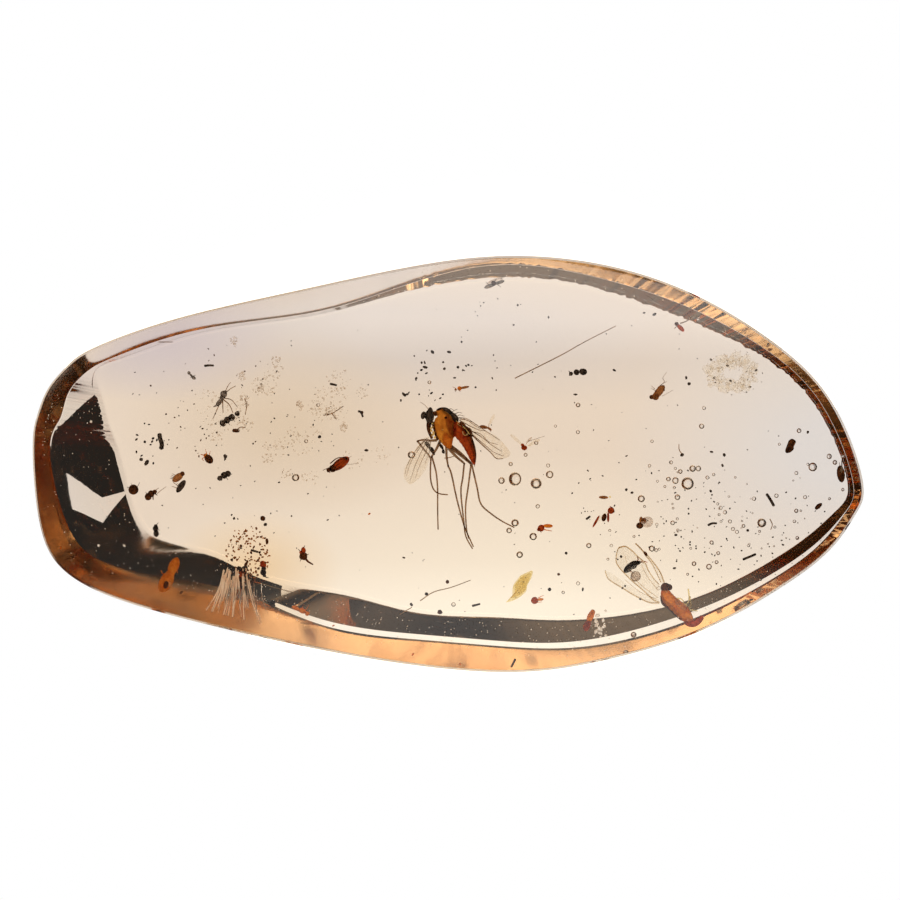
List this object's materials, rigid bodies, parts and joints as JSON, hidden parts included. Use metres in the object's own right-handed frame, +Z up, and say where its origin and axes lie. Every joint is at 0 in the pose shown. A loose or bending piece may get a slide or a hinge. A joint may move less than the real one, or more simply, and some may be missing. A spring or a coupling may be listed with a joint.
{
  "type": "polished copal stone with insect inclusions",
  "caption": "Polished, slightly domed piece of clear amber-coloured copal with a mosquito, other small insects, bubbles and debris sealed inside; lies on its flat back.",
  "frame": {"origin": "middle of the stone's box, on the flat back it lies on", "axes": "+X along the stone's length towards its pointed end, +Y across it, +Z up through its thickness"},
  "size_m": [0.0553, 0.0278, 0.012],
  "materials": {
    "copal": "polished clear copal, pale honey yellow, darker orange where the light path is long",
    "mosquito": "preserved mosquito, orange-brown thorax, dark red abdomen, clear veined wings",
    "winged_insect": "preserved winged insect, orange body, clear veined wings",
    "brown_insect": "small brown insects and seeds",
    "orange_insect": "small orange-brown insects",
    "black_insect": "small black insects and splinters",
    "grey_insect": "faint grey insects deep in the copal",
    "pale_debris": "thin pale flake and frilly film"
  },
  "bodies": {
    "root": {"copal_lower": "copal", "copal_upper": "copal", "mosquito": "mosquito", "winged_insect": "winged_insect", "pinhole_beetle": "orange_insect", "grey_midge": "grey_insect", "black_weevil": "black_insect", "short_dark_twig": "black_insect", "bristly_beetle": "brown_insect", "bent_black_beetle": "black_insect", "brown_beetle_of_pair": "brown_insect", "dark_beetle_of_pair": "black_insect", "round_seed": "brown_insect", "stout_beetle": "brown_insect", "small_black_fly": "black_insect", "two_headed_debris": "brown_insect", "black_red_insect": "black_insect", "brown_ant": "brown_insect", "three_lobed_seed": "black_insect", "orange_midge": "orange_insect", "grey_blade": "grey_insect", "black_ant": "black_insect", "little_orange_fly": "orange_insect", "long_brown_beetle": "brown_insect", "pale_gnat": "grey_insect", "long_winged_gnat": "grey_insect", "red_gnat": "orange_insect", "orange_splinter": "orange_insect", "orange_brown_fly": "brown_insect", "brown_tuft": "brown_insect", "brown_fly": "brown_insect", "red_brown_gnat": "brown_insect", "bark_block": "black_insect", "rim_beetle": "brown_insect", "thin_splinter": "black_insect", "dark_splinter": "black_insect", "red_insect_at_rim": "orange_insect", "orange_grub": "orange_insect", "beetle_under_wing": "black_insect", "pink_seed": "brown_insect", "grey_springtail": "grey_insect", "pale_flake": "pale_debris", "frilly_film": "pale_debris"}
  },
  "joints": []
}
